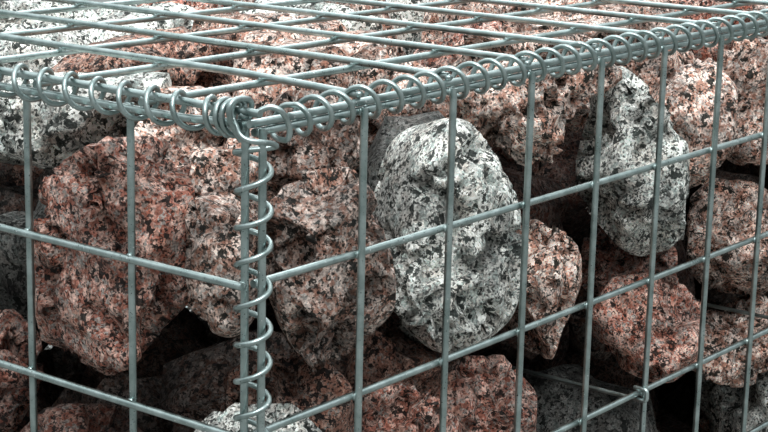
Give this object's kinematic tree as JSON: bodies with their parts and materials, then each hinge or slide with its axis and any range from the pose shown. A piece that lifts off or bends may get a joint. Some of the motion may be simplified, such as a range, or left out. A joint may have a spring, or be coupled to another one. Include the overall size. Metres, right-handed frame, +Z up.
{
  "type": "gabion wall",
  "caption": "Free-standing wall of stone-filled welded wire mesh baskets, bound along every edge with spiral wire, with a shared cross panel and hooked cross ties",
  "frame": {"origin": "centre of the footprint, on the ground", "axes": "+X along the wall, -Y the front face, +Z up"},
  "size_m": [1.9936, 0.5512, 1.0047],
  "materials": {
    "mesh_wire": "weathered zinc",
    "spiral_wire": "weathered zinc",
    "stone": "broken granite"
  },
  "bodies": {
    "root": {"back_panel_bay_1": "mesh_wire", "back_panel_bay_2": "mesh_wire", "base_panel": "mesh_wire", "bottom_spiral_back_bay_1": "spiral_wire", "bottom_spiral_back_bay_2": "spiral_wire", "bottom_spiral_divider": "spiral_wire", "bottom_spiral_front_bay_1": "spiral_wire", "bottom_spiral_front_bay_2": "spiral_wire", "bottom_spiral_left_end": "spiral_wire", "bottom_spiral_right_end": "spiral_wire", "corner_spiral_back_left": "spiral_wire", "corner_spiral_back_right": "spiral_wire", "corner_spiral_front_left": "spiral_wire", "corner_spiral_front_right": "spiral_wire", "cross_ties_bay_1": "mesh_wire", "cross_ties_bay_2": "mesh_wire", "divider_panel": "mesh_wire", "end_panel_left": "mesh_wire", "end_panel_right": "mesh_wire", "front_panel_bay_1": "mesh_wire", "front_panel_bay_2": "mesh_wire", "joint_spiral_back": "spiral_wire", "joint_spiral_front": "spiral_wire", "lid_panel_bay_1": "mesh_wire", "lid_panel_bay_2": "mesh_wire", "stone_fill_lower_bay_1": "stone", "stone_fill_lower_bay_2": "stone", "stone_fill_middle_bay_1": "stone", "stone_fill_middle_bay_2": "stone", "stone_fill_upper_bay_1": "stone", "stone_fill_upper_bay_2": "stone", "top_spiral_back_bay_1": "spiral_wire", "top_spiral_back_bay_2": "spiral_wire", "top_spiral_divider": "spiral_wire", "top_spiral_front_bay_1": "spiral_wire", "top_spiral_front_bay_2": "spiral_wire", "top_spiral_left_end": "spiral_wire", "top_spiral_right_end": "spiral_wire"}
  },
  "joints": []
}
